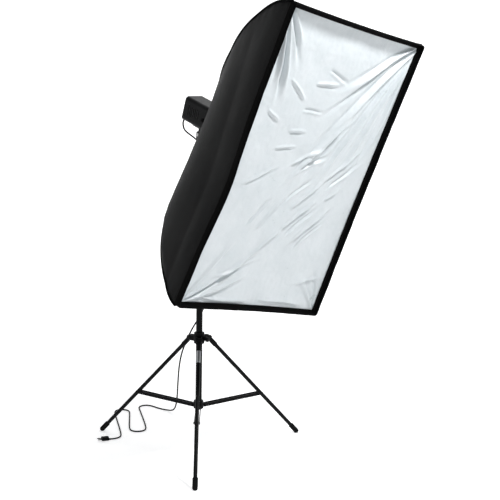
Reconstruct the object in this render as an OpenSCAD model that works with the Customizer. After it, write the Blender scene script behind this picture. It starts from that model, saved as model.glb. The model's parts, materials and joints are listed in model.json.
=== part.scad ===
// Studio softbox on a flash head and a folding light stand, with its mains lead.
// +Z is up. The origin is on the column's axis, on the plane that the feet rest on.

/* [Softbox] */
// Width of the front
box_w = 800; // [700:10:860]
// Height of the front
box_h = 1200; // [1100:10:1260]
// Depth from the speed ring to the front
box_depth = 515; // [480:5:540]
// Roundness of the bowed ribs
bow = 1.5; // [1.4:0.1:1.8]
// Depth of the lip round the diffuser
lip_depth = 20; // [10:1:30]
// Width of the black border round the diffuser
border_w = 18; // [12:1:25]
// Thickness of the shell's fabric panels
panel_t = 2.5; // [2:0.5:3]

/* [Aim] */
// Turn of the head about the column
pan = 42.5; // [30:0.5:60]
// Downward tilt of the head
tilt = 18; // [0:1:22]
// Turn of the softbox about the lamp's axis
spin = -10.5; // [-20:0.5:20]
// Height of the tilt pivot
pivot_z = 1380; // [1375:1:1385]
// Height of the lamp's axis above the tilt pivot
lamp_v = 80; // [78:1:82]

/* [Head] */
// Width of the housing
head_w = 100; // [96:1:110]
// Height of the housing
head_h = 104; // [100:1:110]
// Length of the housing
head_l = 145; // [130:1:160]
// Thickness of the housing's wall
head_wall = 3; // [2:0.5:4]

/* [Stand] */
// Distance of the feet from the column's axis
foot_r = 515; // [480:5:540]
// Height of the legs' pivots
collar_z = 500; // [490:5:510]
// Height of the braces' inner pivots
brace_z = 200; // [195:1:205]
// Outer radius of the lower tube
lower_r = 14; // [13.5:0.5:14]
// Outer radius of the middle tube
mid_r = 11.5; // [11:0.5:12]
// Outer radius of the top tube
top_r = 9.5; // [9:0.5:9.5]
// Radius of a leg's tube
leg_r = 8.5; // [8:0.5:8.5]
// Distance along a leg from its pivot to its brace
leg_brace = 394; // [380:1:400]

/* [Lead] */
// Diameter of the mains lead
lead_d = 7; // [6:0.5:7]

/* [Hidden] */
$fn = 48;

run = 0.06;                      // radial clearance of a turning fit
front_az = -90;
left_az = 150;
right_az = 30;
LEGS = [front_az, left_az, right_az];

// Stand
leg_pivot_r = 45;
foot_z = 9;
foot_d = 23;
leg_run = foot_r - leg_pivot_r;
leg_drop = collar_z - foot_z;
leg_l = norm([leg_run, leg_drop]);
leg_a = atan2(leg_run, leg_drop);
eye_r = 10.5;
tongue = 16.4;                   // width of a leg's tongue between the collar's ears
brace_r = 30;
brace_run = leg_pivot_r + leg_brace * sin(leg_a) - brace_r;
brace_rise = collar_z - leg_brace * cos(leg_a) - brace_z;
brace_l = norm([brace_run, brace_rise]);
brace_a = atan2(brace_rise, brace_run);
strip_t = 2.5;
strip_gap = 18;                  // clear width between a brace's two strips
lower_z0 = brace_z - 12;
lower_z1 = 940;
mid_z0 = 400;
mid_z1 = 1175;
top_z0 = 620;
top_z1 = 1284;
tube_wall = 1.5;
spigot_r = 7.94;
spigot_z1 = 1340;
knob_az = 180;
collar_knob_az = -30;

// Head, along the lamp's axis from the tilt pivot: n is forwards, v is up
head_n0 = -85;
head_n1 = head_n0 + head_l;
panel_n = 6;
head_v = lamp_v + 8;
flange_n1 = head_n1 + 16;
barrel_r = 39.94;
barrel_n1 = 118;
ring_n0 = flange_n1 + 0.5;
inlet_v = 58;
relief_l = 25;
relief_a = 50;                   // the strain relief points this far down from straight back
knob_n = 82;

// Softbox, in its own frame: z = 0 is the front plane
front_n = 607;
half_w = box_w / 2;
half_h = box_h / 2;
diag = norm([half_w, half_h]);
rib_r0 = 85;
rib_inset = 16;
rod_r = 2.5;
steps = 18;
diag_a = atan2(half_h, half_w);
ring_z0 = -front_n + ring_n0;
ring_z1 = -box_depth - 0.5;
hub_r = 60;
hub_z1 = -485;
baffle_z = -200;
DIAGONALS = [diag_a, 180 - diag_a, 180 + diag_a, -diag_a];

// Route of the mains lead, from the head's strain relief to the plug. The lead touches each
// end point, and is drawn smoothly past the ones between. Where two stretches meet, their
// points lie on one line.
ROUTE_HEAD = [[-65, 71, 1452], [-69, 76, 1448], [-77, 84, 1437], [-81, 89, 1421], [-78, 90, 1404],
    [-71, 84, 1389], [-44, 64, 1372], [-18, 46, 1354], [-4, 38, 1341], [5, 33, 1328]];
ROUTE_YOKE = [[5, 33, 1328], [14, 28, 1315], [22, 27, 1285], [25, 31, 1250], [26, 34, 1215]];
ROUTE_TOP = [[26, 34, 1215], [27, 37, 1180], [28, 42, 1100], [28, 46, 1000]];
ROUTE_LOWER = [[28, 46, 1000], [28, 50, 900], [29, 58, 780], [29, 66, 700], [22, 75, 622],
    [-8, 91, 562], [-38, 110, 511], [-61, 140, 451], [-82, 180, 393], [-97, 240, 304],
    [-104, 330, 192], [-110, 410, 106], [-120, 486, 46], [-135, 540, 14], [-165, 585, 3.6],
    [-206, 612, 3.6], [-238, 650, 3.6], [-265, 670, 3.6], [-294, 660, 3.6], [-307, 630, 3.6],
    [-299, 590, 3.6], [-270, 430, 3.6], [-250, 312, 3.6], [-247, 270, 3.6], [-258, 244, 3.6],
    [-285, 233, 3.6], [-311, 244, 3.6], [-322, 270, 3.6], [-328, 320, 3.6], [-341, 510, 3.6],
    [-345, 552, 3.6], [-356, 578, 3.6], [-382, 589, 3.6], [-408, 578, 3.6], [-418, 550, 3.6],
    [-406, 480, 3.6], [-356, 210, 3.6], [-352, 162, 3.6], [-366, 132, 3.6], [-394, 122, 3.6]];
plug_dir = 201.5;
plug_l = 42;

// ---- Functions ----

function last(v) = v[len(v) - 1];

// A point on the smooth curve (a cubic B-spline) that four points steer
function bend(a, b, c, d, t) = (pow(1 - t, 3) * a + (3 * pow(t, 3) - 6 * t * t + 4) * b
    + (-3 * pow(t, 3) + 3 * t * t + 3 * t + 1) * c + pow(t, 3) * d) / 6;

function along(route, per) = [for (i = [0 : len(route) - 2], k = [0 : per - 1])
        bend(i > 0 ? route[i - 1] : 2 * route[0] - route[1], route[i], route[i + 1],
            i + 2 < len(route) ? route[i + 2] : 2 * route[i + 1] - route[i], k / per),
    last(route)];

function unit(v) = v / norm(v);

function heading(path, i) = unit(path[min(i + 1, len(path) - 1)] - path[max(i - 1, 0)]);

// A side direction square to the heading, carried along from ring to ring
function side_of(d, s) = unit(s - (s * d) * d);

function sides(path, s, i = 0) = i == len(path) ? [] :
    let (now = side_of(heading(path, i), s)) concat([now], sides(path, now, i + 1));

function ring_of(p, d, s, r, n) = let (q = cross(d, s))
    [for (k = [0 : n - 1]) p + r * (cos(360 * k / n) * s + sin(360 * k / n) * q)];

// The bowed rib from the ring to a front corner, as [distance from the axis, z]
function rib(t, reach) = let (a = pow(sin(90 * t), 2 / bow), b = pow(cos(90 * t), 2 / bow))
    [rib_r0 + (reach - rib_r0) * a, -box_depth * b];

// The same rib moved inwards by a distance
function rib_in(t, reach, d) = let (
        p = rib(t, reach),
        e = 0.01,
        g = unit(rib(min(t + e, 1), reach) - rib(max(t - e, 0), reach)))
    [p[0] - d * g[1], p[1] + d * g[0]];

// A point on a rod, which runs inside the rib and stops behind the diffuser
function rod_at(t) = let (p = rib_in(t, diag, rib_inset)) [p[0], 0, min(p[1], -6)];

// ---- Shared shapes ----

module tube(path, r, n) {
    s = sides(path, [0.3, 0.5, 0.8]);
    rings = [for (i = [0 : len(path) - 1]) each ring_of(path[i], heading(path, i), s[i], r, n)];
    m = len(path);
    walls = [for (i = [0 : m - 2], k = [0 : n - 1])
        [i * n + k, i * n + (k + 1) % n, (i + 1) * n + (k + 1) % n, (i + 1) * n + k]];
    first = [for (k = [0 : n - 1]) n - 1 - k];
    end = [for (k = [0 : n - 1]) (m - 1) * n + k];
    polyhedron(rings, concat(walls, [first], [end]));
}

module hollow(r, wall, z0, z1) {
    translate([0, 0, z0]) difference() {
        cylinder(r = r, h = z1 - z0);
        translate([0, 0, -1]) cylinder(r = r - wall, h = z1 - z0 + 2);
    }
}

// Extrudes a radial-by-height outline across a leg's plane
module across(t) {
    rotate([90, 0, 0]) linear_extrude(height = t, center = true) children();
}

// Extrudes a depth-by-height outline along X
module along_x(x0, x1) {
    translate([x0, 0, 0]) rotate([90, 0, 90]) linear_extrude(height = x1 - x0) children();
}

// Extrudes a width-by-height outline forwards, from n0 to n1
module along_n(n0, n1) {
    translate([0, -n0, 0]) rotate([90, 0, 0]) linear_extrude(height = n1 - n0) children();
}

module rounded(w, h, r) {
    square([w - 2 * r, h], center = true);
    square([w, h - 2 * r], center = true);
    for (x = [-1, 1], y = [-1, 1]) translate([x * (w / 2 - r), y * (h / 2 - r)]) circle(r = r);
}

module at_az(a) {
    rotate([0, 0, a]) children();
}

module in_leg(a) {
    at_az(a) translate([leg_pivot_r, 0, collar_z]) rotate([0, 180 - leg_a, 0]) children();
}

module in_pan() {
    translate([0, 0, pivot_z]) rotate([0, 0, pan]) children();
}

module in_tilt() {
    in_pan() rotate([tilt, 0, 0]) children();
}

module in_box() {
    in_tilt() translate([0, -front_n, lamp_v]) rotate([90, 0, 0]) rotate([0, 0, spin]) children();
}

// A screw with a lobed hand knob, along +X from the screw's tip
module hand_knob(tip, face, head_r = 9) {
    lobes = 5;
    rotate([0, 90, 0]) {
        translate([0, 0, tip]) cylinder(r = 3, h = face - tip + 1);
        translate([0, 0, face + 0.5]) linear_extrude(height = 13) {
            circle(r = head_r);
            for (k = [0 : lobes - 1]) rotate(360 * k / lobes) translate([head_r - 1, 0]) circle(r = 4);
        }
        translate([0, 0, face + 13]) cylinder(r1 = head_r - 1, r2 = head_r - 4, h = 3);
    }
}

// A boss for such a screw, along +X
module boss(x0, x1, r = 8) {
    rotate([0, 90, 0]) translate([0, 0, x0]) cylinder(r = r, h = x1 - x0);
}

module boss_hole(x0, x1) {
    rotate([0, 90, 0]) translate([0, 0, x0]) cylinder(r = 3 + run, h = x1 - x0 + 1);
}

// ---- Stand ----

module lower_tube() {
    color("#1c1c1d") hollow(lower_r, tube_wall, lower_z0, lower_z1);
}

module brace_bracket() {
    color("#161617") difference() {
        union() {
            translate([0, 0, brace_z - 12]) cylinder(r = 21, h = 34);
            for (a = LEGS) at_az(a) across(strip_gap - 0.8) {
                translate([16, brace_z - 8]) square([brace_r - 16, 16]);
                translate([brace_r, brace_z]) circle(r = 8);
            }
        }
        translate([0, 0, brace_z - 20]) cylinder(r = lower_r, h = 60);
        for (a = LEGS) at_az(a) translate([brace_r, 0, brace_z])
            rotate([90, 0, 0]) cylinder(r = 3, h = 40, center = true);
    }
}

module column_end_plug() {
    color("#101010") {
        translate([0, 0, lower_z0 - 5]) cylinder(r = lower_r, h = 5);
        translate([0, 0, lower_z0]) cylinder(r = lower_r - tube_wall - 0.1, h = 14);
    }
}

module brace_pins() {
    grip = strip_gap / 2 + strip_t;
    color("#8c8c90") for (a = LEGS) at_az(a) translate([brace_r, 0, brace_z]) rotate([90, 0, 0]) {
        cylinder(r = 3, h = 2 * grip + 4, center = true);
        for (s = [-1, 1]) translate([0, 0, s * (grip + 1.6)]) cylinder(r = 5, h = 2, center = true);
    }
}

module lock_collar(z0, r, low_r, step_z, high_r) {
    h = 50;
    boss_z = z0 + h - 15;
    difference() {
        union() {
            translate([0, 0, z0]) cylinder(r = r - 1.5, h = h);
            for (z = [z0 + 4, z0 + h - 28]) translate([0, 0, z]) cylinder(r = r, h = 22);
            translate([0, 0, boss_z]) at_az(knob_az) boss(high_r + 2, r + 9);
        }
        translate([0, 0, z0 - 1]) cylinder(r = low_r, h = step_z - z0 + 1);
        translate([0, 0, z0]) cylinder(r = high_r + run, h = h + 1);
        translate([0, 0, boss_z]) at_az(knob_az) boss_hole(high_r, r + 9);
    }
}

module lower_lock_collar() {
    color("#161617") lock_collar(915, 20, lower_r, lower_z1, mid_r);
}

module upper_lock_collar() {
    color("#161617") lock_collar(1150, 17.5, mid_r, mid_z1, top_r);
}

module lower_lock_knob() {
    color("#101010") translate([0, 0, 950]) at_az(knob_az) hand_knob(mid_r + 0.5, 29);
}

module upper_lock_knob() {
    color("#101010") translate([0, 0, 1185]) at_az(knob_az) hand_knob(top_r + 0.5, 26.5);
}

module leg_collar() {
    ear = 4;
    color("#161617") difference() {
        union() {
            translate([0, 0, collar_z - 22]) cylinder(r = 22.5, h = 48);
            translate([0, 0, collar_z - 14]) cylinder(r = 24, h = 30);
            for (a = LEGS, s = [-1, 1]) at_az(a) translate([0, s * (tongue / 2 + 0.4 + ear / 2), 0])
                across(ear) {
                    translate([14, collar_z - 12]) square([leg_pivot_r - 14, 24]);
                    translate([leg_pivot_r, collar_z]) circle(r = 12);
                }
            translate([0, 0, collar_z]) at_az(collar_knob_az) boss(18, 33);
        }
        translate([0, 0, collar_z - 40]) cylinder(r = lower_r + run, h = 80);
        for (a = LEGS) at_az(a) translate([leg_pivot_r, 0, collar_z])
            rotate([90, 0, 0]) cylinder(r = 3.5, h = 60, center = true);
        for (a = LEGS) at_az(a) translate([26, -tongue / 2 - 0.4, collar_z - 30])
            cube([40, tongue + 0.8, 60]);
        translate([0, 0, collar_z]) at_az(collar_knob_az) boss_hole(lower_r, 33);
    }
}

module leg_pins() {
    half = tongue / 2 + 4.4;
    color("#8c8c90") for (a = LEGS) at_az(a) translate([leg_pivot_r, 0, collar_z]) rotate([90, 0, 0]) {
        cylinder(r = 3.5, h = 2 * half + 4, center = true);
        for (s = [-1, 1]) translate([0, 0, s * (half + 1.1)]) cylinder(r = 6, h = 2.2, center = true);
    }
}

module leg_collar_knob() {
    color("#101010") translate([0, 0, collar_z]) at_az(collar_knob_az) hand_knob(lower_r + 0.5, 33);
}

module leg_tube(a) {
    color("#1c1c1d") in_leg(a) hollow(leg_r, 1.2, 32, leg_l - 15);
}

module leg_end(a) {
    color("#161617") in_leg(a) difference() {
        union() {
            rotate([90, 0, 0]) cylinder(r = eye_r, h = tongue, center = true);
            translate([-eye_r + 2, -tongue / 2, 0]) cube([2 * eye_r - 4, tongue, 28]);
            translate([0, 0, 24]) cylinder(r = eye_r, h = 28);
        }
        rotate([90, 0, 0]) cylinder(r = 3.5 + run, h = 30, center = true);
        translate([0, 0, 32]) cylinder(r = leg_r, h = 30);
    }
}

module foot(a) {
    color("#0c0c0c") intersection() {
        in_leg(a) difference() {
            union() {
                translate([0, 0, leg_l - 42]) cylinder(d = foot_d, h = 42);
                translate([0, 0, leg_l]) sphere(d = foot_d);
            }
            translate([0, 0, leg_l - 50]) cylinder(r = leg_r, h = 35);
        }
        at_az(a) translate([foot_r - 100, -50, 0]) cube([200, 100, 100]);
    }
}

module brace(a) {
    strip_w = 14;
    color("#1c1c1d") at_az(a) translate([brace_r, 0, brace_z]) rotate([0, -brace_a, 0]) {
        for (s = [-1, 1]) {
            translate([0, s * (strip_gap + strip_t) / 2, 0]) across(strip_t) difference() {
                union() {
                    translate([0, -strip_w / 2]) square([brace_l, strip_w]);
                    circle(d = strip_w);
                    translate([brace_l, 0]) circle(d = strip_w);
                }
                circle(r = 3 + run);
            }
            translate([brace_l, s * (strip_gap / 2 + strip_t + 0.5), 0]) rotate([90, 0, 0])
                cylinder(r = 5, h = 3, center = true);
        }
    }
}

module mid_tube() {
    color("#1c1c1d") hollow(mid_r, tube_wall, mid_z0, mid_z1);
}

module top_tube() {
    color("#1c1c1d") hollow(top_r, 1.2, top_z0, top_z1);
}

module spigot() {
    color("#b9babd") {
        translate([0, 0, top_z1 - 30]) cylinder(r = top_r - 1.2, h = 30);
        translate([0, 0, top_z1]) cylinder(r = top_r, h = 6);
        translate([0, 0, top_z1]) cylinder(r = spigot_r, h = spigot_z1 - top_z1);
    }
}

// ---- Tilt bracket ----

module stand_receiver() {
    ear = 6;
    gap = 10.4;
    color("#1a1a1b") in_pan() difference() {
        union() {
            translate([0, 0, -89]) cylinder(r = 16, h = 56);
            translate([-15, -15, -38]) cube([30, 30, 19]);
            for (x = [-gap - ear, gap]) along_x(x, x + ear) {
                translate([-14, -40]) square([28, 40]);
                circle(r = 15);
            }
            translate([0, 0, -62]) rotate([0, 0, 180]) boss(10, 26);
        }
        translate([0, 0, -90]) cylinder(r = spigot_r + run, h = 51);
        along_x(-20, 20) circle(r = 5);
        along_n(-20, 20) translate([0, -28]) circle(r = 4.2);
        translate([0, 0, -62]) rotate([0, 0, 180]) boss_hole(6, 26);
    }
}

module receiver_knob() {
    color("#101010") in_pan() translate([0, 0, -62]) rotate([0, 0, 180]) hand_knob(8.5, 26);
}

module tilt_lug() {
    color("#1a1a1b") in_tilt() difference() {
        union() {
            along_x(-10, 10) {
                circle(r = 15);
                translate([-12, 0]) square([24, 32]);
            }
            translate([-30, -34, 30]) cube([60, 68, 6]);
        }
        along_x(-20, 20) circle(r = 5 + run);
    }
}

module tilt_bolt() {
    color("#8c8c90") in_pan() {
        along_x(-20, 30) circle(r = 5);
        along_x(-23, -16.4) circle(r = 8.5, $fn = 6);
    }
}

module tilt_lever() {
    color("#101010") in_pan() difference() {
        union() {
            along_x(16.7, 36) circle(r = 9);
            translate([28, 0, 0]) rotate([125, 0, 0]) cylinder(r1 = 6, r2 = 4.5, h = 62);
            translate([28, 0, 0]) rotate([125, 0, 0]) translate([0, 0, 62]) sphere(r = 7);
        }
        along_x(10, 30.5) circle(r = 5 + run);
    }
}

// ---- Flash head ----

module head_housing() {
    slots = 7;
    pitch = 11;
    color("#1b1b1c") in_tilt() translate([0, 0, head_v]) difference() {
        along_n(head_n0, head_n1) rounded(head_w, head_h, 15);
        along_n(head_n0 - 1, head_n1 + 1)
            rounded(head_w - 2 * head_wall, head_h - 2 * head_wall, 12);
        for (k = [0 : slots - 1])
            translate([-head_w, -head_n0 - 30 - k * pitch, -22]) cube([2 * head_w, 3.5, 44]);
    }
}

module rear_panel() {
    color("#111112") in_tilt() difference() {
        union() {
            translate([0, 0, head_v]) along_n(head_n0 - 3, head_n0) rounded(head_w, head_h, 15);
            translate([0, 0, head_v]) along_n(head_n0 - panel_n, head_n0)
                rounded(head_w - 8, head_h - 8, 13);
        }
        for (x = [-22, 22]) translate([x, 0, 112]) along_n(head_n0 - 20, head_n0 + 2) circle(r = 3 + run);
        translate([0, 0, 112]) along_n(head_n0 - 20, head_n0 + 2) circle(r = 5.1);
        translate([28, 0, 68]) along_n(head_n0 - 20, head_n0 + 2) square([22, 19], center = true);
    }
}

module front_flange() {
    color("#2a2a2b") in_tilt() translate([0, 0, lamp_v]) difference() {
        union() {
            translate([0, 0, head_v - lamp_v]) along_n(head_n1, head_n1 + 5) rounded(head_w, head_h, 15);
            along_n(head_n1, flange_n1) circle(r = 46);
            along_n(head_n1, barrel_n1) circle(r = barrel_r);
        }
        along_n(head_n1 + 6, barrel_n1 + 1) circle(r = 34);
    }
}

module circuit_board() {
    color("#1f4a2c") in_tilt() translate([-40, -45, head_v + 4]) cube([80, 90, 1.6]);
}

module capacitors() {
    color("#23262b") in_tilt() for (x = [-20, 20])
        translate([x, 0, 60]) along_n(-30, 50) circle(r = 17);
}

module cooling_fan() {
    color("#0e0e0f") in_tilt() translate([0, 0, head_v + 2]) difference() {
        along_n(-72, -52) rounded(60, 60, 4);
        along_n(-73, -55) circle(r = 27);
    }
}

module flash_tube() {
    glass_r = 3.5;
    loop_r = 24;
    color("#d9dde0") in_tilt() translate([0, -130, lamp_v]) rotate([90, 0, 0]) {
        rotate_extrude() translate([loop_r, 0]) circle(r = glass_r);
        for (s = [-1, 1]) translate([s * loop_r, 0, -64]) cylinder(r = 3, h = 64);
    }
}

module modelling_lamp() {
    color("#e8e4d8") in_tilt() translate([0, 0, lamp_v]) {
        along_n(head_n1 + 6, head_n1 + 26) circle(r = 12);
        along_n(head_n1 + 26, 118) circle(r = 7);
        translate([0, -126, 0]) sphere(r = 14);
    }
}

module strain_relief() {
    collar = 5;
    r = 6.4;
    color("#0d0d0d") in_tilt() translate([0, -head_n0 + panel_n, inlet_v]) {
        rotate([-90, 0, 0]) cylinder(r = 8, h = collar);
        translate([0, r + 0.1, 0]) {
            sphere(r = r);
            rotate([-90 - relief_a, 0, 0]) cylinder(r1 = r, r2 = 4.4, h = relief_l);
        }
    }
}

module dial(x) {
    in_tilt() translate([x, 0, 112]) {
        along_n(head_n0 - 8, head_n0 - 1) circle(r = 3);
        along_n(head_n0 - 15, head_n0 - panel_n - 0.5) {
            circle(r = 8.5);
            for (k = [0 : 11]) rotate(30 * k) translate([8.5, 0]) circle(r = 1.2, $fn = 16);
        }
    }
}

module power_dial() {
    color("#202022") dial(-22);
}

module lamp_dial() {
    color("#202022") dial(22);
}

module test_button() {
    color("#a02018") in_tilt() translate([0, 0, 112]) along_n(head_n0 - 10, head_n0 - 1) circle(r = 5);
}

module rocker_switch() {
    color("#a02018") in_tilt() translate([28, -head_n0 + 2, 68]) intersection() {
        along_x(-10, 10) circle(r = 9);
        translate([-10, -2, -9]) cube([20, 12, 18]);
    }
}

// ---- Softbox ----

module speed_ring() {
    color("#3a3a3c") in_box() difference() {
        union() {
            translate([0, 0, ring_z0]) cylinder(r = 75, h = ring_z1 - ring_z0, $fn = 96);
            translate([0, 0, ring_z0]) cylinder(r = hub_r, h = hub_z1 - ring_z0, $fn = 96);
            for (a = DIAGONALS) rotate([0, 0, a]) translate([0, 0, -box_depth + rib_inset]) boss(50, 100, 7);
            translate([0, 0, knob_n - front_n]) rotate([0, 0, 180]) boss(70, 84, 6);
        }
        translate([0, 0, ring_z0 - 1]) cylinder(r = barrel_r + run, h = 60, $fn = 96);
        for (a = DIAGONALS) rotate([0, 0, a]) translate([rib_r0 - 15, 0, -box_depth + rib_inset])
            rotate([0, 90, 0]) cylinder(r = rod_r, h = 40);
        translate([0, 0, knob_n - front_n]) rotate([0, 0, 180]) boss_hole(30, 84);
    }
}

module rods() {
    color("#6f7276") in_box() for (a = DIAGONALS) {
        path = concat([[rib_r0 - 14, 0, -box_depth + rib_inset]],
            [for (k = [0 : steps]) rod_at(k / steps)]);
        rotate([0, 0, a]) tube(path, rod_r, 8);
    }
}

// The pockets hold the rods near their tips, and open at both ends
module rod_pockets() {
    a = rod_at((steps - 2) / steps);
    b = rod_at((steps - 1) / steps);
    lean = atan2(b[0] - a[0], b[2] - a[2]);
    color("#101010") in_box() for (way = DIAGONALS) rotate([0, 0, way])
        translate(a) rotate([0, lean, 0]) difference() {
            translate([0, 0, 2]) cylinder(r = 5.4, h = norm(b - a) - 4);
            cylinder(r = rod_r + 0.7, h = norm(b - a));
        }
}

// One fabric panel between two ribs: half is its half-width, reach its distance from the axis
module panel(half, reach) {
    gap = 0.6;
    share = reach / diag;
    outline = [for (k = [0 : steps]) let (p = rib(k / steps, diag)) [p[0] * share, min(p[1], -3.2)]];
    inside = [for (k = [steps : -1 : 0]) let (p = rib_in(k / steps, diag, panel_t / share))
        [min(p[0] * share, reach - panel_t), min(p[1], -3.2)]];
    far = 2 * diag;
    difference() {
        intersection() {
            rotate([90, 0, 90]) linear_extrude(height = 2 * half + 2, center = true)
                polygon(concat(outline, inside));
            translate([0, 0, -box_depth - 10]) linear_extrude(height = box_depth + 20)
                polygon([[0, gap * diag / half], [far * half / reach, far + gap * diag / half],
                    [-far * half / reach, far + gap * diag / half]]);
        }
        translate([0, 0, -box_depth - 20]) cylinder(r = hub_r + 1, h = 60);
    }
}

module panel_top() {
    color("#202122") in_box() panel(half_w, half_h);
}

module panel_bottom() {
    color("#202122") in_box() rotate([0, 0, 180]) panel(half_w, half_h);
}

module panel_left() {
    color("#202122") in_box() rotate([0, 0, 90]) panel(half_h, half_w);
}

module panel_right() {
    color("#202122") in_box() rotate([0, 0, -90]) panel(half_h, half_w);
}

module rim_band() {
    wall = 3;
    color("#141414") in_box() difference() {
        translate([-half_w, -half_h, -2.7]) cube([box_w, box_h, lip_depth + 2.7]);
        translate([wall - half_w, wall - half_h, 0])
            cube([box_w - 2 * wall, box_h - 2 * wall, lip_depth + 1]);
        translate([border_w - half_w, border_w - half_h, -5])
            cube([box_w - 2 * border_w, box_h - 2 * border_w, 10]);
    }
}

module front_diffuser() {
    edge = panel_t + 1.5;
    color("#e9eef0") in_box() translate([edge - half_w, edge - half_h, -5.2])
        cube([box_w - 2 * edge, box_h - 2 * edge, 2]);
}

module inner_baffle() {
    w = 0.72 * box_w;
    h = 0.72 * box_h;
    color("#f2f4f5") in_box() translate([-w / 2, -h / 2, baffle_z]) cube([w, h, 2]);
}

module ring_lock_knob() {
    color("#101010") in_box() translate([0, 0, knob_n - front_n]) rotate([0, 0, 180])
        hand_knob(barrel_r + 0.6, 84, 6);
}

// ---- Mains lead ----

// One run of the lead; it stops short of the next run by a gap
module lead(route, per, gap = 0.8) {
    path = along(route, per);
    end = last(path) - gap * heading(path, len(path) - 1);
    color("#0d0d0d") tube([for (i = [0 : len(path) - 2]) path[i], end], lead_d / 2, 8);
}

module lead_head() {
    lead(ROUTE_HEAD, 1);
}

module lead_yoke() {
    lead(ROUTE_YOKE, 1);
}

module lead_top() {
    lead(ROUTE_TOP, 1);
}

module lead_lower() {
    lead(ROUTE_LOWER, 2, 0);
}

module mains_plug() {
    pin_l = 19;
    color("#0d0d0d") translate(last(ROUTE_LOWER) + [0, 0, 5]) rotate([0, 0, plug_dir]) {
        rotate([0, 90, 0]) {
            translate([5, 0, 0]) cylinder(r1 = 3.8, r2 = 5, h = 12);
            translate([0, 0, 12]) linear_extrude(height = plug_l - 12) rounded(17, 28, 6);
            for (s = [-1, 1]) translate([0, s * 9.5, plug_l]) cylinder(r = 2.4, h = pin_l);
        }
    }
}

lower_tube();
brace_bracket();
column_end_plug();
brace_pins();
lower_lock_collar();
lead_lower();
mains_plug();
leg_collar();
leg_pins();
leg_collar_knob();
leg_tube(front_az);  // leg_tube_front
leg_tube(left_az);  // leg_tube_left
leg_tube(right_az);  // leg_tube_right
leg_end(front_az);  // leg_end_front
leg_end(left_az);  // leg_end_left
leg_end(right_az);  // leg_end_right
foot(front_az);  // foot_front
foot(left_az);  // foot_left
foot(right_az);  // foot_right
brace(front_az);  // brace_front
brace(left_az);  // brace_left
brace(right_az);  // brace_right
mid_tube();
upper_lock_collar();
lower_lock_knob();
upper_lock_knob();
top_tube();
spigot();
stand_receiver();
receiver_knob();
tilt_lug();
tilt_bolt();
tilt_lever();
head_housing();
rear_panel();
front_flange();
circuit_board();
capacitors();
cooling_fan();
flash_tube();
modelling_lamp();
strain_relief();
power_dial();
lamp_dial();
test_button();
rocker_switch();
lead_head();
lead_yoke();
lead_top();
speed_ring();
rods();
rod_pockets();
panel_top();
panel_bottom();
panel_left();
panel_right();
rim_band();
front_diffuser();
inner_baffle();
ring_lock_knob();
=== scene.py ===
"""Looks of the studio softbox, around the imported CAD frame. Metres throughout; +Z is up."""

import json
import math

import bpy
from mathutils import Matrix, Vector, noise


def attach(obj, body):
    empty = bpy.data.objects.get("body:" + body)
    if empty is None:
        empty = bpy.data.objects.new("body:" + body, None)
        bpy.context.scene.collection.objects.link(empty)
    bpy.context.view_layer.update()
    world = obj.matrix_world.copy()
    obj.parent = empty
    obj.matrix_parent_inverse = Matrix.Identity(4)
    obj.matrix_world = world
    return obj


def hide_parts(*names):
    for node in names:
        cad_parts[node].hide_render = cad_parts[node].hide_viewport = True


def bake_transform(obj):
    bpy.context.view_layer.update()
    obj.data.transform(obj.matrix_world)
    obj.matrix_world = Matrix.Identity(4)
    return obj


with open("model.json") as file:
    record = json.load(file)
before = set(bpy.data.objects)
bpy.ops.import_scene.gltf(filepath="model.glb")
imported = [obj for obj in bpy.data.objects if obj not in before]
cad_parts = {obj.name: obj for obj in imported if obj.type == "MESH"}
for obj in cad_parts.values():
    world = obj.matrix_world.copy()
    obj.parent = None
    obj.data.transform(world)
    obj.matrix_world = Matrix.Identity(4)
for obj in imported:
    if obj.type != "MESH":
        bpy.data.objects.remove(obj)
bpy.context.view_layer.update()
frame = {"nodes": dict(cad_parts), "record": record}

# ---- Frames of the object ----

MM = 0.001
PAN, TILT, SPIN = math.radians(42.5), math.radians(18), math.radians(-10.5)
PIVOT = Vector((0, 0, 1.38))
U = Vector((math.cos(PAN), math.sin(PAN), 0))
N = Vector((math.sin(PAN) * math.cos(TILT), -math.cos(PAN) * math.cos(TILT), -math.sin(TILT)))
V = Vector((math.sin(PAN) * math.sin(TILT), -math.cos(PAN) * math.sin(TILT), math.cos(TILT)))
LAMP_V = 0.080
FRONT_N = 0.607


def frame_matrix(x, y, z, origin):
    m = Matrix.Identity(4)
    for col, axis in enumerate((x, y, z, origin)):
        for row in range(3):
            m[row][col] = axis[row]
    return m


HEAD = frame_matrix(U, V, N, PIVOT)
BOX = (HEAD @ Matrix.Translation((0, LAMP_V, FRONT_N)) @ Matrix.Rotation(SPIN, 4, "Z"))

# ---- Camera ----

LENS, SENSOR = 86.4, 36.0                                  # millimetres
CAM_AT = Vector((0.1048, -5.0863, 1.6741))
CAM_YAW, CAM_PITCH, CAM_ROLL = -0.0215, -0.1531, -0.0163   # radians

camera = bpy.data.objects.new("camera", bpy.data.cameras.new("camera"))
bpy.context.scene.collection.objects.link(camera)
turn = (Matrix.Rotation(CAM_YAW, 3, "Z") @ Matrix.Rotation(CAM_PITCH, 3, "X")
        @ Matrix.Rotation(CAM_ROLL, 3, "Y"))
right, forward, up = turn.col[0], turn.col[1], turn.col[2]
camera.matrix_world = frame_matrix(right, up, -forward, CAM_AT)
camera.data.lens = LENS
camera.data.sensor_width = SENSOR
camera.data.clip_end = 100
bpy.context.scene.camera = camera

# ---- Making meshes ----


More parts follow.
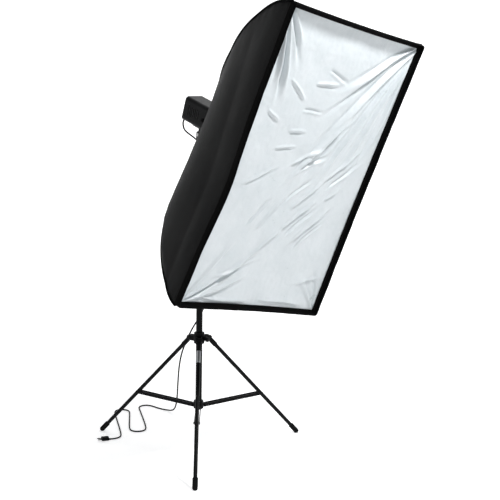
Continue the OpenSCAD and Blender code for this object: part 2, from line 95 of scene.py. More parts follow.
def mesh_object(name, verts, faces, materials, in_box=False):
    """A smooth-shaded mesh; in_box takes its points from the softbox's own frame."""
    if in_box:
        verts = [BOX @ settled(Vector(v)) for v in verts]
    mesh = bpy.data.meshes.new(name)
    mesh.from_pydata([tuple(v) for v in verts], [], faces)
    mesh.update()
    mesh.shade_smooth()
    for m in materials:
        mesh.materials.append(m)
    obj = bpy.data.objects.new(name, mesh)
    bpy.context.scene.collection.objects.link(obj)
    return obj


def smoothstep(x):
    x = min(max(x, 0.0), 1.0)
    return x * x * (3 - 2 * x)


def smooth_route(route, per):
    """The smooth curve (a cubic B-spline) that the route's points steer, as part.scad draws it."""
    pts = [Vector(p) for p in route]
    out = []
    for i in range(len(pts) - 1):
        a = pts[i - 1] if i else 2 * pts[0] - pts[1]
        b, c = pts[i], pts[i + 1]
        d = pts[i + 2] if i + 2 < len(pts) else 2 * c - b
        for k in range(per):
            t = k / per
            out.append(((1 - t) ** 3 * a + (3 * t ** 3 - 6 * t ** 2 + 4) * b
                        + (-3 * t ** 3 + 3 * t ** 2 + 3 * t + 1) * c + t ** 3 * d) / 6)
    out.append(pts[-1])
    return out


def sides_along(path):
    """Two side directions at each point of a path, turning as little as possible."""
    out, side = [], Vector((0.3, 0.5, 0.8))
    for i in range(len(path)):
        d = (path[min(i + 1, len(path) - 1)] - path[max(i - 1, 0)]).normalized()
        side = (side - d * side.dot(d)).normalized()
        out.append((side, d.cross(side)))
    return out


def tube_mesh(path, radius, sides):
    """Vertices and faces of a round tube; radius is a number, or a function of the share along."""
    verts, faces = [], []
    for i, (p, (s, q)) in enumerate(zip(path, sides_along(path))):
        r = radius(i / (len(path) - 1)) if callable(radius) else radius
        for k in range(sides):
            a = 2 * math.pi * k / sides
            verts.append(p + r * (math.cos(a) * s + math.sin(a) * q))
    for i in range(len(path) - 1):
        for k in range(sides):
            j = (k + 1) % sides
            faces.append((i * sides + k, i * sides + j, (i + 1) * sides + j, (i + 1) * sides + k))
    faces.append(tuple(reversed(range(sides))))
    last = (len(path) - 1) * sides
    faces.append(tuple(last + k for k in range(sides)))
    return verts, faces


def joined(parts):
    """Several (verts, faces) as one."""
    verts, faces = [], []
    for v, f in parts:
        base = len(verts)
        verts += list(v)
        faces += [tuple(base + i for i in face) for face in f]
    return verts, faces


# ---- Materials ----


class Nodes:
    """A small helper round one material's node tree."""

    def __init__(self, name, space=None):
        self.mat = bpy.data.materials.new(name)
        self.mat.use_nodes = True
        self.tree = self.mat.node_tree
        self.shader = self.tree.nodes["Principled BSDF"]
        self.coord = self.tree.nodes.new("ShaderNodeTexCoord").outputs["Object"]
        if space is not None:        # the pattern follows these axes
            back = space.inverted()
            self.coord = self.add("Mapping", {"Vector": self.coord, "Location": back.to_translation(),
                                              "Rotation": back.to_euler("XYZ")}).outputs["Vector"]

    def add(self, kind, inputs=None, **props):
        node = self.tree.nodes.new("ShaderNode" + kind)
        for key, value in props.items():
            setattr(node, key, value)
        for key, value in (inputs or {}).items():
            if isinstance(value, bpy.types.NodeSocket):
                self.tree.links.new(value, node.inputs[key])
            else:
                node.inputs[key].default_value = value
        return node

    def noise(self, scale, detail=4.0, rough=0.55, coord=None, distortion=0.0):
        node = self.add("TexNoise", {"Vector": coord or self.coord, "Scale": scale, "Detail": detail,
                                     "Roughness": rough, "Distortion": distortion})
        return node.outputs["Fac"]

    def wave(self, scale, direction, distortion=0.0):
        node = self.add("TexWave", {"Vector": self.coord, "Scale": scale, "Distortion": distortion,
                                    "Detail": 1.0}, bands_direction=direction)
        return node.outputs["Fac"]

    def math(self, op, a, b=0.0):
        node = self.add("Math", {0: a, 1: b}, operation=op)
        return node.outputs[0]

    def span(self, value, low, high, start=0.25, end=0.75):
        node = self.add("MapRange", {"Value": value, "From Min": start, "From Max": end,
                                     "To Min": low, "To Max": high})
        return node.outputs["Result"]

    def mix(self, factor, a, b):
        node = self.add("Mix", data_type="RGBA")
        for socket, value in ((node.inputs[0], factor), (node.inputs[6], a), (node.inputs[7], b)):
            if isinstance(value, bpy.types.NodeSocket):
                self.tree.links.new(value, socket)
            else:
                socket.default_value = value
        return node.outputs[2]

    def bump(self, height, strength, distance, normal=None):
        inputs = {"Height": height, "Strength": strength, "Distance": distance}
        if normal is not None:
            inputs["Normal"] = normal
        return self.add("Bump", inputs).outputs["Normal"]

    def edge(self, radius):
        """1 near a sharp edge, 0 on a flat."""
        bevel = self.add("Bevel", {"Radius": radius}, samples=4).outputs["Normal"]
        plain = self.add("NewGeometry").outputs["Normal"]
        node = self.add("VectorMath", {0: bevel, 1: plain}, operation="DOT_PRODUCT")
        return self.span(node.outputs["Value"], 1.0, 0.0, 0.80, 0.995)

    def set(self, **values):
        names = {"color": "Base Color", "rough": "Roughness", "normal": "Normal", "metal": "Metallic",
                 "coat": "Coat Weight", "spec": "Specular IOR Level", "ior": "IOR",
                 "transmission": "Transmission Weight"}
        for key, value in values.items():
            socket = self.shader.inputs[names[key]]
            if isinstance(value, bpy.types.NodeSocket):
                self.tree.links.new(value, socket)
            else:
                socket.default_value = value
        return self.mat


def rgb(r, g, b):
    return (r, g, b, 1.0)


def grey(v, cool=0.0):
    return rgb(v * (1 - cool), v, v * (1 + cool))


def solid(name, dark, light, rough, patch=0.05, grain=1500, grain_depth=0.00012, worn=None, wear=0.4,
          **extra):
    """A moulded, painted or metal surface: patchy colour, fine grain, and edges that wear lighter."""
    m = Nodes(name)
    patches = m.noise(1 / patch, 5)
    color = m.mix(m.span(patches, 0, 1), dark, light)
    if worn:
        mask = m.math("MULTIPLY", m.edge(0.0012), m.span(m.noise(180, 3), 0.3 * wear, wear))
        color = m.mix(mask, color, worn)
    fine = m.noise(grain, 2)
    scuffs = m.noise(60, 6, 0.7, distortion=1.5)
    roughness = m.span(scuffs, rough - 0.07, rough + 0.08)
    height = m.math("ADD", fine, m.math("MULTIPLY", scuffs, 0.4))
    return m.set(color=color, rough=roughness, normal=m.bump(height, 0.5, grain_depth), **extra)


def brushed(name, dark, light, rough, stretch=40):
    """Drawn or turned metal: fine upright lines."""
    m = Nodes(name)
    lines = m.add("Mapping", {"Vector": m.coord, "Scale": (stretch, stretch, 1)}).outputs["Vector"]
    streak = m.noise(60, 3, coord=lines)
    spots = m.noise(45, 5)
    color = m.mix(m.span(m.math("ADD", m.math("MULTIPLY", streak, 0.7), m.math("MULTIPLY", spots, 0.3)),
                         0, 1), dark, light)
    return m.set(color=color, rough=m.span(spots, rough - 0.06, rough + 0.1), metal=1.0,
                 normal=m.bump(streak, 0.35, 0.00006))


WAVE_REPEAT = 0.314                 # a wave texture repeats every WAVE_REPEAT / scale


def cloth(name, dark, light, rough, thread, grid, grid_lift, crease=0.0006, **extra):
    """Woven nylon: threads, a coarser ripstop grid, soft creases and dust."""
    m = Nodes(name, BOX)
    weave = m.math("MULTIPLY", m.wave(WAVE_REPEAT / thread, "X", 0.4),
                   m.wave(WAVE_REPEAT / thread, "Y", 0.4))
    weave = m.math("ADD", weave, m.wave(WAVE_REPEAT / thread, "Z", 0.4))
    rip_x, rip_y, rip_z = (m.math("POWER", m.wave(WAVE_REPEAT / grid, axis), 24.0) for axis in "XYZ")
    rip = m.math("MAXIMUM", m.math("MAXIMUM", rip_x, rip_y), rip_z)
    broad = m.noise(9, 6, 0.6, distortion=0.6)
    dust = m.noise(140, 6, 0.75)
    shade = m.math("ADD", m.math("MULTIPLY", broad, 0.7), m.math("MULTIPLY", dust, 0.3))
    color = m.mix(m.span(shade, 0, 1, 0.35, 0.65), dark, light)
    lift = m.bump(m.math("ADD", weave, m.math("MULTIPLY", rip, grid_lift)), 0.5, 0.00010)
    soft = m.noise(26, 5, 0.6, distortion=1.2)
    normal = m.bump(soft, 0.6, crease, normal=lift)
    return m.set(color=color, rough=m.span(broad, rough - 0.07, rough + 0.07), normal=normal, **extra)


MATERIALS = {
    "black_tube": solid("black_tube", grey(0.004, 0.06), grey(0.008, 0.06), 0.38, worn=grey(0.03),
                        wear=0.5, spec=0.06),
    "black_casting": solid("black_casting", grey(0.005), grey(0.009, 0.05), 0.5, grain=900,
                           worn=grey(0.03), wear=0.5, spec=0.06),
    "knob_plastic": solid("knob_plastic", grey(0.004), grey(0.008), 0.44, grain=1100, worn=grey(0.03),
                          spec=0.06),
    "rubber": solid("rubber", grey(0.005), grey(0.010), 0.75, grain=700, grain_depth=0.0002,
                    worn=grey(0.02), spec=0.04),
    "lead_rubber": solid("lead_rubber", grey(0.004), grey(0.008), 0.5, patch=0.12, grain=900, spec=0.05),
    "bright_steel": brushed("bright_steel", grey(0.34), grey(0.58), 0.28),
    "bracket_metal": solid("bracket_metal", grey(0.007), grey(0.013), 0.42, worn=grey(0.05), wear=0.6,
                           spec=0.09),
    "housing_paint": solid("housing_paint", grey(0.005, 0.05), grey(0.010, 0.05), 0.40, grain=1300,
                           worn=grey(0.09), wear=0.8, spec=0.09),
    "panel_plastic": solid("panel_plastic", grey(0.006), grey(0.011), 0.5, grain=1200, worn=grey(0.05),
                           spec=0.16),
    "board": solid("board", rgb(0.01, 0.06, 0.03), rgb(0.02, 0.10, 0.045), 0.4, patch=0.02),
    "red_plastic": solid("red_plastic", rgb(0.30, 0.012, 0.010), rgb(0.42, 0.02, 0.015), 0.25,
                         worn=rgb(0.6, 0.1, 0.08), coat=0.3),
    "rod_steel": brushed("rod_steel", grey(0.24), grey(0.40), 0.3),
    "black_fabric": cloth("black_fabric", grey(0.005, 0.02), grey(0.012, 0.03), 0.60, 0.0007, 0.006, 0.6,
                          spec=0.05),
    "white_fabric": cloth("white_fabric", rgb(0.53, 0.575, 0.595), rgb(0.60, 0.635, 0.655), 0.32, 0.0006,
                          0.005, 0.25, crease=0.0005, spec=0.6),
}

glass = Nodes("lamp_glass")
MATERIALS["lamp_glass"] = glass.set(
    color=glass.mix(glass.span(glass.noise(50, 5), 0, 1), rgb(0.84, 0.87, 0.88), rgb(0.95, 0.96, 0.97)),
    rough=glass.span(glass.noise(90, 4), 0.12, 0.28), transmission=0.85, ior=1.47,
    normal=glass.bump(glass.noise(160, 3), 0.3, 0.0001))
BINDING = cloth("black_binding", grey(0.0014), grey(0.0024), 0.7, 0.0012, 0.004, 0.4, spec=0.04)
LINING = cloth("silver_lining", grey(0.50), grey(0.62), 0.34, 0.0008, 0.006, 0.5, metal=0.7, spec=0.5)
LABEL = brushed("label_foil", grey(0.38, 0.03), grey(0.55, 0.03), 0.42, stretch=12)

SLOTS = {part["node"]: part["material_slot"] for part in frame["record"]["subparts"]}
for node, slot_name in SLOTS.items():
    obj = frame["nodes"][node]
    for slot in obj.material_slots:
        slot.material = MATERIALS[slot_name]
    if not obj.material_slots:
        obj.data.materials.append(MATERIALS[slot_name])

# ---- Mains lead ----
# The routes are part.scad's, in millimetres, but for the bend at the yoke, which clears the tilt lever.

LEAD_D, LEAD_SIDES, LEAD_STEPS = 0.007, 12, 6
ROUTE_HEAD = [
    (-65, 71, 1452), (-69, 76, 1448), (-77, 84, 1437), (-81, 89, 1421), (-78, 90, 1404),
    (-71, 84, 1389), (-44, 64, 1372), (-21, 50, 1355), (-7, 42, 1342), (0, 38, 1328)]
ROUTE_YOKE = [(0, 38, 1328), (7, 34, 1314), (17, 32, 1286), (24, 32, 1250), (26, 34, 1215)]
ROUTE_TOP = [(26, 34, 1215), (27, 37, 1180), (28, 42, 1100), (28, 46, 1000)]
ROUTE_LOWER = [
    (28, 46, 1000), (28, 50, 900), (29, 58, 780), (29, 66, 700), (22, 75, 622),
    (-8, 91, 562), (-38, 110, 511), (-61, 140, 451), (-82, 180, 393), (-97, 240, 304),
    (-104, 330, 192), (-110, 410, 106), (-120, 486, 46), (-135, 540, 14), (-165, 585, 3.6),
    (-206, 612, 3.6), (-238, 650, 3.6), (-265, 670, 3.6), (-294, 660, 3.6), (-307, 630, 3.6),
    (-299, 590, 3.6), (-270, 430, 3.6), (-250, 312, 3.6), (-247, 270, 3.6), (-258, 244, 3.6),
    (-285, 233, 3.6), (-311, 244, 3.6), (-322, 270, 3.6), (-328, 320, 3.6), (-341, 510, 3.6),
    (-345, 552, 3.6), (-356, 578, 3.6), (-382, 589, 3.6), (-408, 578, 3.6), (-418, 550, 3.6),
    (-406, 480, 3.6), (-356, 210, 3.6), (-352, 162, 3.6), (-366, 132, 3.6), (-394, 122, 3.6)]


def lead_piece(name, route):
    """One stretch of the lead, from one body to the next, as a tube along its smoothed route."""
    path = smooth_route([Vector(p) * MM for p in route], LEAD_STEPS)
    piece = mesh_object(name, *tube_mesh(path, LEAD_D / 2, LEAD_SIDES), [MATERIALS["lead_rubber"]])
    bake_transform(piece)
    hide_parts(name.removesuffix("_piece"))


lead_piece("lead_head_piece", ROUTE_HEAD)
lead_piece("lead_yoke_piece", ROUTE_YOKE)
lead_piece("lead_top_piece", ROUTE_TOP)
lead_piece("lead_lower_piece", ROUTE_LOWER)

# ---- The softbox's shape ----
# Everything here is in the softbox's own frame: x across, y up, z forwards from the front plane.

HALF_W, HALF_H, DEPTH, RIB_R0, BOW = 0.400, 0.600, 0.515, 0.085, 1.5
DIAG = math.hypot(HALF_W, HALF_H)
HUB_R = 0.0625
SIDES = [       # half-length along, reach, outward direction, direction along, steps along
    (HALF_H, HALF_W, Vector((1, 0)), Vector((0, 1)), 56),
    (HALF_W, HALF_H, Vector((0, 1)), Vector((-1, 0)), 40),
    (HALF_H, HALF_W, Vector((-1, 0)), Vector((0, -1)), 56),
    (HALF_W, HALF_H, Vector((0, -1)), Vector((1, 0)), 40)]


def rib(t):
    a = math.sin(math.pi / 2 * t) ** (2 / BOW)
    b = max(math.cos(math.pi / 2 * t), 0.0) ** (2 / BOW)
    return RIB_R0 + (DIAG - RIB_R0) * a, -DEPTH * b


def rib_normal(t, reach):
    """Outward direction of a panel at a share of the way along the ribs, as (out, forwards)."""
    e = 0.01
    a, b = rib(max(t - e, 0)), rib(min(t + e, 1))
    d = Vector(((b[0] - a[0]) * reach / DIAG, b[1] - a[1])).normalized()
    return Vector((d.y, -d.x)) if d.y > 0 else Vector((0, -1))


CORNER_SHIFT = {(-1, 1): (1, 0), (1, 1): (-2, 3), (1, -1): (16, -5), (-1, -1): (-7, -1)}


def settled(p):
    """The soft front sits a little out of square: each corner has its own shift, in millimetres."""
    share = smoothstep((p.z + 0.30) / 0.28)
    u, w = (min(max(c / h, -1), 1) for c, h in ((p.x, HALF_W), (p.y, HALF_H)))
    shift = Vector((0, 0, 0))
    for (a, b), (dx, dy) in CORNER_SHIFT.items():
        shift += Vector((dx, dy, 0)) * ((1 + a * u) * (1 + b * w) / 4 * MM)
    return p + shift * share


def hollow(y):
    """The left edge is drawn in further, just below its middle."""
    return 0.019 * math.exp(-((y / HALF_H + 0.2) / 0.33) ** 2)


def pull_in(side, s):
    """How far a point of a front edge is drawn in between the rod tips."""
    if side[1] == HALF_H:
        return 0.005 * (1 - s * s)
    left = hollow(-HALF_H * s) if side[2].x < 0 else 0
    return 0.0075 * (1 - s * s) + left * (1 - s ** 6)


def lift_at(t, low):
    """How far the fabric stands off the bow of the rods; low is 1 at the bottom and -1 at the top."""
    a, b, c = (math.sin(k * math.pi * t) for k in (1, 2, 3))
    top = -0.0099 * a - 0.0054 * c
    bottom = 0.0089 * a - 0.0036 * b - 0.0122 * c
    lift = bottom * (1 + low) / 2 + top * (1 - low) / 2
    room = 0.001 + 0.007 * smoothstep((t - 0.25) / 0.2) * (1 - smoothstep((t - 0.65) / 0.2))
    return max(lift, -room)         # the rods run close inside


def shell_point(t, side, s):
    """A point of the fabric: t runs from the ring to the front, s from -1 to 1 along a side."""
    half, reach, out, along, _ = side
    r, z = rib(t)
    share = r / DIAG
    middle = 1 - s * s
    n = rib_normal(t, reach)
    flat = out * (reach * share) + along * (half * share * s)
    low = -flat.y / (HALF_H * share)           # 1 at the bottom, -1 at the top
    lift = lift_at(t, low) - 0.003 * middle * math.sin(math.pi * t)
    o = reach * share - pull_in(side, s) * smoothstep((t - 0.2) / 0.8) + lift * n.x
    z = z + lift * n.y
    flat = out * o + along * (half * share * s)
    p = Vector((flat.x, flat.y, z))
    near = 1 - smoothstep(t / 0.22)
    if near > 0:                     # the opening is round
        ring = Vector((flat.x, flat.y)).normalized() * (HUB_R + 0.9 * max(r - RIB_R0, 0))
        p.x += (ring.x - p.x) * near
        p.y += (ring.y - p.y) * near
    if t < 0.4:                      # gathers round the ring
        theta, rad = math.atan2(p.y, p.x), math.hypot(p.x, p.y)
        pleat = 0.5 + 0.5 * math.cos(34 * theta + 2 * math.sin(3 * theta))
        p.z = max(p.z + 0.0022 * math.exp(-max(rad - 0.075, 0) / 0.06) * pleat, -DEPTH)
    # Small waves: soft over the panel, tighter beside the seams
    q = Vector((p.x * 6, p.y * 6, p.z * 6))
    wave = 0.0022 * noise.noise(q) + 0.0008 * noise.noise(q * 3.1 + Vector((5, 2, 1)))
    beside = math.exp(-((1 - abs(s)) * half * share / 0.035) ** 2)
    wave += 0.0011 * beside * math.sin(t * 95 + 3 * s) * smoothstep(t * 4)
    amount = wave * smoothstep(t * 3) * min(1, 12 * middle)
    p.x -= out.x * n.x * amount
    p.y -= out.y * n.x * amount
    p.z -= n.y * amount
    return p


T_STEPS = 72
FABRIC_T = 0.0012
OUTSIDE, INSIDE = 0, 1          # material numbers of the shell's two faces


def make_shell():
    ring_count = sum(side[4] for side in SIDES)
    outer, inner = [], []
    for i in range(T_STEPS + 1):
        t = i / T_STEPS
        for side in SIDES:
            for k in range(side[4]):
                outer.append(shell_point(t, side, -1 + 2 * k / side[4]))
    for i in range(T_STEPS + 1):
        row, before, after = (ring_count * j for j in (i, max(i - 1, 0), min(i + 1, T_STEPS)))
        for k in range(ring_count):
            across = outer[row + (k + 1) % ring_count] - outer[row + (k - 1) % ring_count]
            onward = outer[after + k] - outer[before + k]
            inner.append(outer[row + k] - across.cross(onward).normalized() * FABRIC_T)
    faces, kinds = [], []
    base = len(outer)
    for i in range(T_STEPS):
        for k in range(ring_count):
            a, b = i * ring_count + k, i * ring_count + (k + 1) % ring_count
            c, d = b + ring_count, a + ring_count
            faces.append((a, b, c, d))
            kinds.append(OUTSIDE)
            faces.append((base + a, base + d, base + c, base + b))
            kinds.append(INSIDE)
    for k in range(ring_count):
        a, b = k, (k + 1) % ring_count
        faces.append((a, base + a, base + b, b))
        c, d = T_STEPS * ring_count + a, T_STEPS * ring_count + b
        faces.append((c, d, base + d, base + c))
        kinds += [OUTSIDE, OUTSIDE]
    shell = mesh_object("shell", outer + inner, faces, [MATERIALS["black_fabric"], LINING], in_box=True)
    for face, kind in zip(shell.data.polygons, kinds):
        face.material_index = kind
    area = sum(f.area for f, kind in zip(shell.data.polygons, kinds) if kind == OUTSIDE)
    return shell, area


def softbox_piece(piece, slot_name, *nodes):
    """A piece that rides on the softbox, and the CAD nodes that it replaces."""
    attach(piece, "softbox")
    if nodes:
        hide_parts(*nodes)


shell, shell_area = make_shell()
softbox_piece(shell, "black_fabric", "panel_top", "panel_bottom", "panel_left", "panel_right")


def rib_line(side, t0, t1, count, lift):
    """Points along the seam where a side starts, lifted off the fabric."""
    out = []
    for k in range(count + 1):
        t = t0 + (t1 - t0) * k / count
        n = rib_normal(t, DIAG)
        p = shell_point(t, side, -1)
        d = Vector((p.x, p.y)).normalized()
        out.append(p + Vector((d.x * n.x, d.y * n.x, n.y)) * lift)
    return out


def piping_radius(share):
    return 0.0034 * (0.55 + 0.45 * smoothstep(share * 12))


def make_piping():
    parts = [tube_mesh(rib_line(side, 0.06, 0.992, 110, 0.0012), piping_radius, 10) for side in SIDES]
    return mesh_object("seam_piping", *joined(parts), [BINDING], in_box=True)


softbox_piece(make_piping(), "black_fabric")

# ---- Rim band ----

RIM_PROFILE = [                # distance out from the front outline, and z, both in millimetres
    (0.6, -13), (1.3, -8), (1.5, 0), (1.9, 8), (1.6, 15), (0.9, 18.6), (-0.6, 20.0), (-2.4, 19.6),
    (-3.3, 17.6), (-3.6, 12), (-3.9, 6), (-4.8, 2.4), (-7, 0.9), (-12, 0.5), (-17, 0.4), (-18.4, -0.6),
    (-18.0, -2.0), (-12, -2.4), (-4, -3.2), (-1.4, -6), (-0.9, -12)]


CORNER_R = 0.013
LONG_STEPS, SHORT_STEPS, CORNER_STEPS = 90, 60, 6


def front_outline():
    """The front's outline with rounded corners, as (point, outward direction)."""
    out = []
    for side in SIDES:
        half, reach, o, a, _ = side
        count = LONG_STEPS if reach == HALF_W else SHORT_STEPS
        for k in range(count + 1):
            s = (-1 + 2 * k / count) * (1 - CORNER_R / half)
            p = o * (reach - pull_in(side, s)) + a * (half * s)
            slope = (pull_in(side, s + 0.01) - pull_in(side, s - 0.01)) / (0.02 * half)
            out.append((p, (o + a * slope).normalized()))
        centre = o * (reach - CORNER_R) + a * (half - CORNER_R)
        for k in range(1, CORNER_STEPS):
            ang = math.pi / 2 * k / CORNER_STEPS
            d = o * math.cos(ang) + a * math.sin(ang)
            out.append((centre + d * CORNER_R, d))
    return out


def make_rim():
    outline = front_outline()
    n, m = len(outline), len(RIM_PROFILE)
    verts = []
    for p, d in outline:
        q = Vector((p.x * 9, p.y * 9, 0.3))
        tilt = 0.0016 * noise.noise(q) + 0.0007 * noise.noise(q * 3.7)
        rise = 0.0018 * noise.noise(q * 1.3 + Vector((3, 1, 0))) + 0.0006 * noise.noise(q * 5)
        for j, (out, z) in enumerate(RIM_PROFILE):
            up_share = smoothstep((z + 3) / 20)
            o = out * MM + tilt * up_share
            zz = z * MM + rise * up_share
            if out < -5:
                zz += 0.0008 * noise.noise(Vector((p.x * 30, p.y * 30, out * 0.2)))
            xy = p + d * o
            verts.append(Vector((xy.x, xy.y, zz)))
    faces = [(i * m + j, i * m + (j + 1) % m, ((i + 1) % n) * m + (j + 1) % m, ((i + 1) % n) * m + j)
             for i in range(n) for j in range(m)]
    return mesh_object("rim", verts, faces, [BINDING], in_box=True)


softbox_piece(make_rim(), "black_fabric", "rim_band")

# ---- Diffuser ----

DIF_W, DIF_H, DIF_Z, DIF_T = 0.3945, 0.5945, -0.0042, 0.0006
# Folds: start, end, half-width at the start and the end, depth, all in metres
FOLDS = [
    # from the top right corner, long and down to the left
    ((0.385, 0.585), (0.05, 0.335), 0.006, 0.017, 0.0045),
    ((0.385, 0.580), (0.00, 0.240), 0.005, 0.016, -0.0038),
    ((0.386, 0.575), (0.02, 0.090), 0.006, 0.018, 0.0052),
    ((0.386, 0.570), (0.01, -0.02), 0.005, 0.017, -0.0048),
    ((0.388, 0.565), (0.10, -0.03), 0.005, 0.015, 0.0046),
    ((0.389, 0.560), (0.17, 0.100), 0.005, 0.013, -0.0036),
    ((0.389, 0.555), (0.22, 0.020), 0.005, 0.014, 0.0042),
    ((0.390, 0.550), (0.29, 0.060), 0.005, 0.012, -0.0034),
    ((0.390, 0.540), (0.335, 0.165), 0.005, 0.011, 0.0030),
    ((0.22, 0.33), (-0.06, -0.06), 0.009, 0.013, 0.0036),
    ((0.17, 0.21), (0.00, 0.00), 0.008, 0.010, -0.0030),
    # from the top left corner, down
    ((-0.388, 0.588), (-0.27, 0.470), 0.005, 0.013, 0.0042),
    ((-0.388, 0.585), (-0.24, 0.390), 0.005, 0.014, -0.0036),
    ((-0.390, 0.580), (-0.265, 0.275), 0.005, 0.014, 0.0048),
    ((-0.390, 0.575), (-0.285, 0.245), 0.005, 0.012, -0.0042),
    ((-0.391, 0.565), (-0.325, 0.300), 0.005, 0.012, 0.0030),
    # from the bottom left corner, up to the right
    ((-0.388, -0.586), (-0.06, -0.345), 0.005, 0.014, 0.0046),
    ((-0.388, -0.588), (-0.16, -0.44), 0.005, 0.013, -0.0034),
    ((-0.386, -0.590), (-0.10, -0.47), 0.005, 0.014, 0.0036),
    ((-0.389, -0.580), (-0.22, -0.33), 0.005, 0.013, 0.0028),
    # from the bottom right corner
    ((0.388, -0.587), (0.24, -0.45), 0.005, 0.016, 0.0032),
    ((0.388, -0.582), (0.30, -0.40), 0.005, 0.014, -0.0028),
    # loose creases in the middle
    ((-0.13, -0.252), (-0.04, -0.12), 0.007, 0.009, 0.0032),
    ((-0.19, -0.24), (-0.11, -0.13), 0.006, 0.008, -0.0022),
    ((0.016, -0.24), (0.14, -0.12), 0.007, 0.010, 0.0036),
    ((0.055, -0.26), (0.17, -0.14), 0.007, 0.009, -0.0030),
    ((0.03, -0.15), (0.15, -0.03), 0.008, 0.009, 0.0030),
    ((-0.02, -0.12), (0.09, -0.02), 0.006, 0.008, -0.0024),
    ((-0.19, 0.07), (-0.09, 0.09), 0.005, 0.007, 0.0026),
    ((-0.15, 0.145), (-0.07, 0.155), 0.006, 0.007, 0.0028),
    ((-0.12, 0.235), (-0.02, 0.24), 0.006, 0.007, -0.0024),
    ((-0.10, 0.34), (0.02, 0.36), 0.006, 0.009, 0.0030),
    ((-0.05, 0.40), (0.06, 0.375), 0.007, 0.009, -0.0028),
    ((0.20, -0.10), (0.26, -0.05), 0.006, 0.007, 0.0024),
    ((-0.30, 0.20), (-0.23, 0.17), 0.006, 0.008, 0.0026),
    ((0.10, -0.29), (0.25, -0.13), 0.006, 0.010, 0.0034),
    ((0.13, -0.31), (0.24, -0.19), 0.005, 0.008, -0.0026),
    ((-0.10, -0.36), (0.02, -0.25), 0.006, 0.009, 0.0030),
    ((-0.25, -0.47), (-0.05, -0.38), 0.006, 0.009, 0.0026),
    ((-0.07, 0.02), (0.08, 0.11), 0.006, 0.010, 0.0032),
    ((-0.02, 0.00), (0.12, 0.08), 0.006, 0.009, -0.0026),
    ((0.16, -0.02), (0.30, 0.13), 0.007, 0.010, 0.0034),
    ((0.19, -0.05), (0.32, 0.08), 0.006, 0.009, -0.0028),
    ((-0.28, -0.08), (-0.14, 0.00), 0.006, 0.009, 0.0026),
    ((-0.24, 0.33), (-0.14, 0.27), 0.006, 0.009, 0.0028),
    ((0.22, -0.47), (0.36, -0.43), 0.006, 0.008, 0.0022),
    ((0.05, -0.55), (0.28, -0.56), 0.006, 0.012, 0.0030),
    ((-0.30, -0.56), (-0.04, -0.565), 0.005, 0.012, 0.0032),
]


def fold_height(x, y, fold):
    (x0, y0), (x1, y1), w0, w1, depth = fold
    dx, dy = x1 - x0, y1 - y0
    length = math.hypot(dx, dy)
    s = ((x - x0) * dx + (y - y0) * dy) / length ** 2
    if not -0.15 < s < 1.2:
        return 0.0
    side = ((x - x0) * dy - (y - y0) * dx) / length
    side += 0.014 * length * math.sin(5 * s + 7 * x0 + 3 * y1)
    width = 0.85 * (w0 + (w1 - w0) * min(max(s, 0), 1))
    d = side / width
    if abs(d) > 4:
        return 0.0
    ends = smoothstep((s + 0.15) / 0.3) * (1 - smoothstep((s - 0.65) / 0.5))
    return 2.5 * depth * ends * (math.exp(-d * d) - 0.55 * math.exp(-((d - 1.6) / 0.95) ** 2))


def diffuser_height(x, y):
    edge = max(min(DIF_W - abs(x), DIF_H - abs(y)), 0)
    free = smoothstep(edge / 0.03)
    q = Vector((x * 5, y * 5, 0.7))
    h = 0.0035 * noise.noise(q) + 0.0016 * noise.noise(q * 2.7)
    h += 0.0007 * noise.noise(Vector((x * 45 + y * 30, y * 45 - x * 30, 0.2)))
    h -= 0.004 * smoothstep(edge / 0.12)
    # a soft hollow below the top edge
    under = (DIF_H - y) / 0.055
    h -= 0.006 * math.exp(-(under - 1.1) ** 2 * 1.6) * smoothstep((0.42 - abs(x)) / 0.1)
    h += sum(fold_height(x, y, fold) for fold in FOLDS)
    # little gathers all along the border
    along = y if DIF_W - abs(x) < DIF_H - abs(y) else x
    h += 0.0009 * math.exp(-edge / 0.025) * math.sin(along * 190 + 4 * math.sin(along * 23))
    return DIF_Z + free * h


def layered_faces(nx, ny):
    """Faces of a thin sheet: two layers of nx by ny quads, the first facing up, and the edge."""
    row, size = nx + 1, (nx + 1) * (ny + 1)
    faces = []
    for j in range(ny):
        for i in range(nx):
            a = j * row + i
            faces.append((a, a + 1, a + 1 + row, a + row))
            faces.append((size + a, size + a + row, size + a + 1 + row, size + a + 1))
    rim = ([i for i in range(nx)] + [j * row + nx for j in range(ny)]
           + [ny * row + i for i in range(nx, 0, -1)] + [j * row for j in range(ny, 0, -1)])
    for a, b in zip(rim, rim[1:] + rim[:1]):
        faces.append((a, size + a, size + b, b))
    return faces


def make_sheet(name, half_w, half_h, height, step, thick, material, front):
    """A sheet of cloth with two faces and a thin edge; front gives its points' places across and up."""
    nx, ny = round(2 * half_w / step), round(2 * half_h / step)
    verts = []
    for layer in (0, 1):
        for j in range(ny + 1):
            for i in range(nx + 1):
                x, y = front(-1 + 2 * i / nx, -1 + 2 * j / ny)
                verts.append(Vector((x, y, height(x, y) - layer * thick)))
    return mesh_object(name, verts, layered_faces(nx, ny), [material], in_box=True)


def drawn_in(s, t):
    """The diffuser follows the drawn-in outline of the front."""
    left = hollow(t * DIF_H) * (1 - t ** 6) * (1 - s) / 2
    return (s * (DIF_W - 0.0065 * (1 - t * t)) + left, t * (DIF_H - 0.0045 * (1 - s * s)))


diffuser = make_sheet("diffuser", DIF_W, DIF_H, diffuser_height, 0.0036, DIF_T, MATERIALS["white_fabric"],
                      drawn_in)
softbox_piece(diffuser, "white_fabric", "front_diffuser")

# ---- Inner baffle ----

BAF_W, BAF_H, BAF_Z, BAF_T = 0.287, 0.431, -0.199, 0.0008


def baffle_height(x, y):
    sag = 0.005 * (1 - (x / BAF_W) ** 2) * (1 - (y / BAF_H) ** 2)
    q = Vector((x * 8, y * 8, 2.3))
    return BAF_Z - sag + 0.0015 * noise.noise(q)


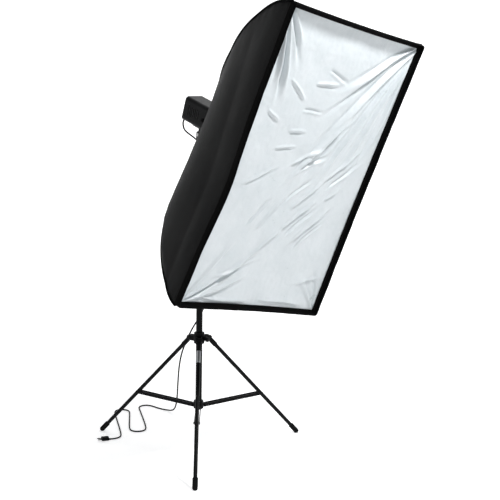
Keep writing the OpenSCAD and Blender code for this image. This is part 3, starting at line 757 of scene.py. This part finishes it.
def baffle_edge(s, t):
    return (s * (BAF_W - 0.012 * (1 - t * t)), t * (BAF_H - 0.009 * (1 - s * s)))


baffle = make_sheet("baffle", BAF_W, BAF_H, baffle_height, 0.012, BAF_T, MATERIALS["white_fabric"],
                    baffle_edge)
softbox_piece(baffle, "white_fabric", "inner_baffle")

# ---- Label on the front leg ----


LEG_TOP, LEG_FOOT = Vector((0, -0.045, 0.500)), Vector((0, -0.515, 0.009))
LABEL_START, LABEL_END = 0.054, 0.112           # along the leg from its top
LABEL_HALF = math.radians(74)
LABEL_R, LABEL_T = 0.00895, 0.0005


def make_label():
    """A blank foil label round the upper part of the front leg."""
    axis = (LEG_FOOT - LEG_TOP).normalized()
    across, out = Vector((1, 0, 0)), Vector((1, 0, 0)).cross(axis)
    out = -out if out.y > 0 else out
    middle, reach = (LABEL_START + LABEL_END) / 2, (LABEL_END - LABEL_START) / 2
    count, rows = 24, 12
    verts = []
    for rad in (LABEL_R, LABEL_R - LABEL_T):
        for j in range(rows + 1):
            for i in range(count + 1):
                s, t = -1 + 2 * i / count, -1 + 2 * j / rows
                corner = smoothstep(max(abs(s) - 0.88, 0) / 0.12) * smoothstep(max(abs(t) - 0.93, 0) / 0.07)
                a = LABEL_HALF * s * (1 - 0.05 * corner)
                d = middle + reach * t * (1 - 0.03 * corner)
                verts.append(LEG_TOP + axis * d + (across * math.sin(a) + out * math.cos(a)) * rad)
    faces = [face[:1] + face[:0:-1] for face in layered_faces(count, rows)]     # turned to face outwards
    return mesh_object("blank_label", verts, faces, [LABEL])


label = make_label()
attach(label, "leg_front")

# ---- Floor, backdrop and lights ----


GLOW, FAR_GLOW = 0.54, 0.9                  # emission of the floor, and of the backdrop behind it
GLOW_FROM, GLOW_TO = 1.5, 5.0               # where along y the one turns into the other
BACK_Y, BACK_R, BACK_TOP, STAGE_HALF, STAGE_FRONT = 14.0, 5.0, 20, 50, -40


def make_floor():
    """A floor that curves up into a backdrop."""
    curve = [math.pi / 2 * k / 16 for k in range(17)]
    profile = ([(STAGE_FRONT, 0), (2.5, 0)]
               + [(BACK_Y + BACK_R * math.sin(a), BACK_R - BACK_R * math.cos(a)) for a in curve]
               + [(BACK_Y + BACK_R, BACK_TOP)])
    verts = [(x, y, z) for y, z in profile for x in (-STAGE_HALF, STAGE_HALF)]
    faces = [(2 * i, 2 * i + 1, 2 * i + 3, 2 * i + 2) for i in range(len(profile) - 1)]
    m = Nodes("floor")
    paint = m.mix(m.span(m.noise(1.4, 4), 0, 1), grey(0.86), grey(0.90))
    m.shader.inputs["Emission Color"].default_value = (1, 1, 1, 1)
    far = m.add("SeparateXYZ", {"Vector": m.coord}).outputs["Y"]
    m.tree.links.new(m.span(far, GLOW, FAR_GLOW, GLOW_FROM, GLOW_TO), m.shader.inputs["Emission Strength"])
    mat = m.set(color=paint, rough=m.span(m.noise(3.0, 4), 0.75, 0.9),
                normal=m.bump(m.noise(90, 3), 0.05, 0.001), spec=0.2)
    mesh_object("floor", verts, faces, [mat])


make_floor()


def area_light(name, place, target, size, power):
    data = bpy.data.lights.new(name, "AREA")
    data.shape, data.size, data.energy = "SQUARE", size, power
    obj = bpy.data.objects.new(name, data)
    bpy.context.scene.collection.objects.link(obj)
    way = Vector(target) - Vector(place)
    obj.matrix_world = Matrix.Translation(place) @ way.to_track_quat("-Z", "Y").to_matrix().to_4x4()


area_light("key", (1.9, -1.3, 3.3), (0.5, -0.45, 1.75), 0.4, 84)
area_light("left_fill", (-3.8, -1.2, 2.6), (0, 0, 1.2), 2.0, 12)
area_light("back_wash", (0, 2.6, 5.5), (0, 4.5, 1.0), 3.0, 60)

world = bpy.data.worlds.new("world")
bpy.context.scene.world = world
world.use_nodes = True
sky = world.node_tree.nodes["Background"].inputs
sky["Color"].default_value = (0.95, 0.975, 1.0, 1.0)
sky["Strength"].default_value = 0.26
bpy.context.scene.view_settings.view_transform = "Standard"
